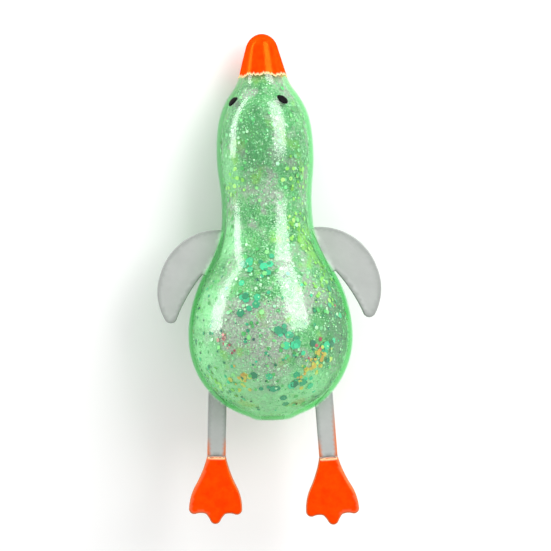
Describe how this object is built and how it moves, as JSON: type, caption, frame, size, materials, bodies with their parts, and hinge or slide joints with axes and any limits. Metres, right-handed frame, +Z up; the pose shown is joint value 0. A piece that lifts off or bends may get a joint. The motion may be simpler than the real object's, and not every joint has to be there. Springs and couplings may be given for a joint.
{
  "type": "squeeze duck toy",
  "caption": "Soft clear squeeze duck filled with green liquid and glitter, with flap wings, strap legs and webbed orange feet, lying on its back.",
  "frame": {"origin": "bottom centre of the duck as it lies on its back", "axes": "+Y towards the head, +X towards the duck's left side, +Z up, out of the belly"},
  "size_m": [0.0776, 0.1682, 0.0562],
  "materials": {
    "tinted_skin": "glossy clear rubber with a light green tint",
    "clear_rubber": "glossy clear rubber",
    "liquid": "clear green liquid full of fine glitter",
    "plug_rubber": "glossy clear rubber",
    "orange_paint": "soft glossy paint",
    "black_paint": "glossy paint",
    "green_foil": "metallic foil",
    "gold_foil": "metallic foil",
    "pink_foil": "metallic foil"
  },
  "bodies": {
    "body": {"body_skin": "tinted_skin", "body_gel": "liquid", "fill_plug": "plug_rubber", "body_flakes_green": "green_foil", "body_flakes_gold": "gold_foil", "body_flakes_pink": "pink_foil"},
    "head": {"head_skin": "tinted_skin", "head_gel": "liquid", "beak_coat": "orange_paint", "head_flakes_green": "green_foil", "eye_left": "black_paint", "eye_right": "black_paint"},
    "wing_left": {"wing_left": "clear_rubber"},
    "leg_left": {"leg_left": "clear_rubber"},
    "foot_left": {"foot_left": "clear_rubber", "foot_coat_left": "orange_paint"},
    "wing_right": {"wing_right": "clear_rubber"},
    "leg_right": {"leg_right": "clear_rubber"},
    "foot_right": {"foot_right": "clear_rubber", "foot_coat_right": "orange_paint"}
  },
  "joints": [
    {"name": "neck_bend", "type": "hinge", "parent": "body", "child": "head", "pos_m": [0, 0.02599, 0.01987], "axis": [0, 0.1702, 0.9854], "range_deg": [-30, 30], "stiffness_Nm_per_rad": 0.03},
    {"name": "wing_left_flap", "type": "hinge", "parent": "body", "child": "wing_left", "pos_m": [0.0209, 0.01072, 0.02251], "axis": [0.3963, -0.9047, 0.1563], "range_deg": [-45, 75], "stiffness_Nm_per_rad": 0.006},
    {"name": "leg_left_swing", "type": "hinge", "parent": "body", "child": "leg_left", "pos_m": [0.018, -0.04654, 0.0324], "axis": [-0.9989, -0.0464, 0.008], "range_deg": [-40, 80], "stiffness_Nm_per_rad": 0.012},
    {"name": "ankle_left_bend", "type": "hinge", "parent": "leg_left", "child": "foot_left", "pos_m": [0.01878, -0.06288, 0.03522], "axis": [-0.9989, -0.0464, 0.008], "range_deg": [-60, 60], "stiffness_Nm_per_rad": 0.006},
    {"name": "wing_right_flap", "type": "hinge", "parent": "body", "child": "wing_right", "pos_m": [-0.0209, 0.01072, 0.02251], "axis": [0.3963, 0.9047, -0.1563], "range_deg": [-45, 75], "stiffness_Nm_per_rad": 0.006},
    {"name": "leg_right_swing", "type": "hinge", "parent": "body", "child": "leg_right", "pos_m": [-0.0194, -0.04506, 0.03214], "axis": [-0.9989, 0.0464, -0.008], "range_deg": [-40, 80], "stiffness_Nm_per_rad": 0.012},
    {"name": "ankle_right_bend", "type": "hinge", "parent": "leg_right", "child": "foot_right", "pos_m": [-0.02018, -0.0614, 0.03496], "axis": [-0.9989, 0.0464, -0.008], "range_deg": [-60, 60], "stiffness_Nm_per_rad": 0.006}
  ]
}
